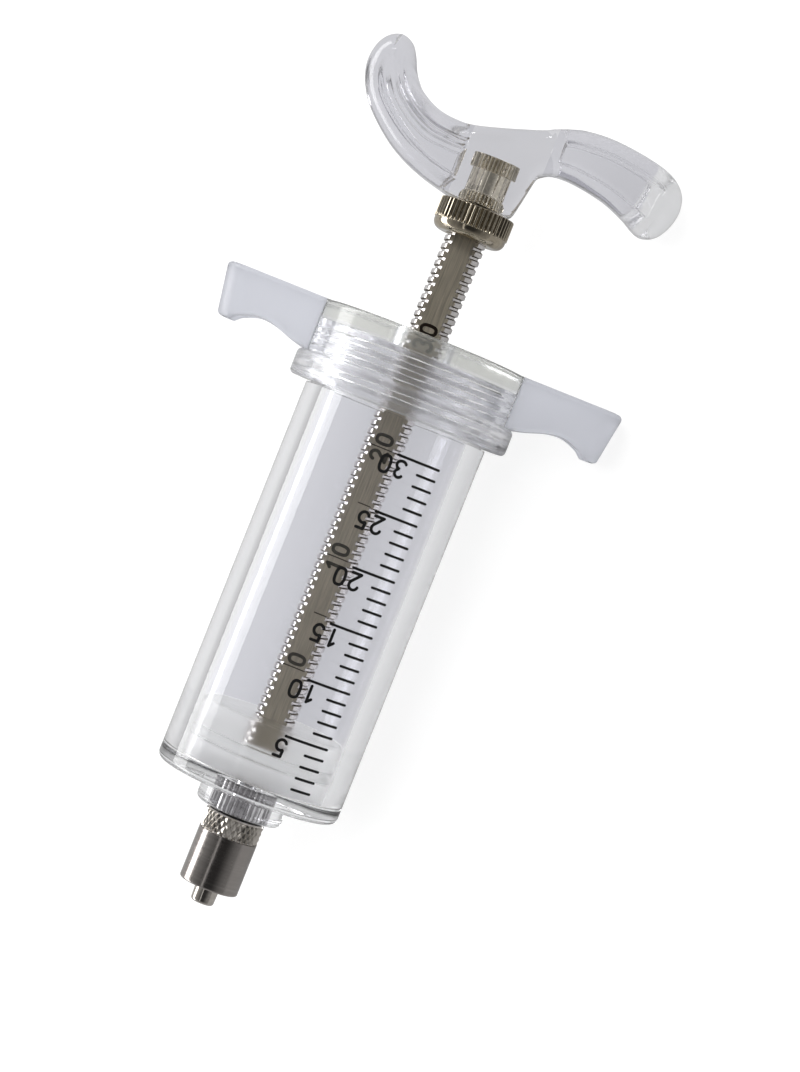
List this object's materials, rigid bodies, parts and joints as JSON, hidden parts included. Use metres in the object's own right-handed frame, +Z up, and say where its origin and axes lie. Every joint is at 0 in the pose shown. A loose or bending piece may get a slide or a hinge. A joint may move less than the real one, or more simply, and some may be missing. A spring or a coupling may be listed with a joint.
{
  "type": "dosing syringe",
  "caption": "Reusable clear plastic dosing syringe lying on its side, with a threaded graduated spindle, a dosing nut, a curved thumb handle, a winged screw cap and a metal luer-lock nozzle.",
  "frame": {"origin": "middle of the footprint, on the surface that the syringe lies on, straight below its axis", "axes": "+Y along the syringe's axis towards the handle, +Z up, +X towards the drooping arm of the handle and the wing tip that the syringe rests on. It is rolled 25.6 degrees onto that tip, so the printed scale faces up and towards +X"},
  "size_m": [0.0658, 0.1468, 0.0385],
  "materials": {
    "barrel_plastic": "clear, polished",
    "cap_plastic": "clear, slightly milky",
    "handle_plastic": "clear, polished",
    "piston_plastic": "milky",
    "piston_ring_rubber": "translucent silicone",
    "black_rubber": "smooth",
    "spindle_metal": "nickel-plated, brushed along its flats",
    "nut_metal": "nickel-plated, knurled",
    "insert_metal": "nickel-plated, knurled",
    "nozzle_metal": "nickel-plated, knurled collar",
    "sleeve_metal": "turned and polished"
  },
  "bodies": {
    "barrel": {"barrel": "barrel_plastic", "nozzle_bush": "insert_metal"},
    "nozzle": {"nozzle": "nozzle_metal", "lock_sleeve": "sleeve_metal", "nozzle_seal": "black_rubber"},
    "cap": {"cap": "cap_plastic"},
    "plunger": {"spindle": "spindle_metal", "handle": "handle_plastic", "handle_insert": "insert_metal", "piston": "piston_plastic", "piston_ring": "piston_ring_rubber"},
    "dosing_nut": {"dosing_nut": "nut_metal"}
  },
  "joints": [
    {"name": "plunger_slide", "type": "slide", "parent": "barrel", "child": "plunger", "axis": [0, 1, 0], "range_m": [0, 0.0587]},
    {"name": "nut_travel", "type": "slide", "parent": "plunger", "child": "dosing_nut", "axis": [0, 1, 0], "range_m": [-0.0175, 0]},
    {"name": "cap_unscrew", "type": "slide", "parent": "barrel", "child": "cap", "axis": [0, 1, 0], "range_m": [0, 0.012]},
    {"name": "nozzle_unscrew", "type": "slide", "parent": "barrel", "child": "nozzle", "axis": [0, -1, 0], "range_m": [0, 0.007]}
  ]
}
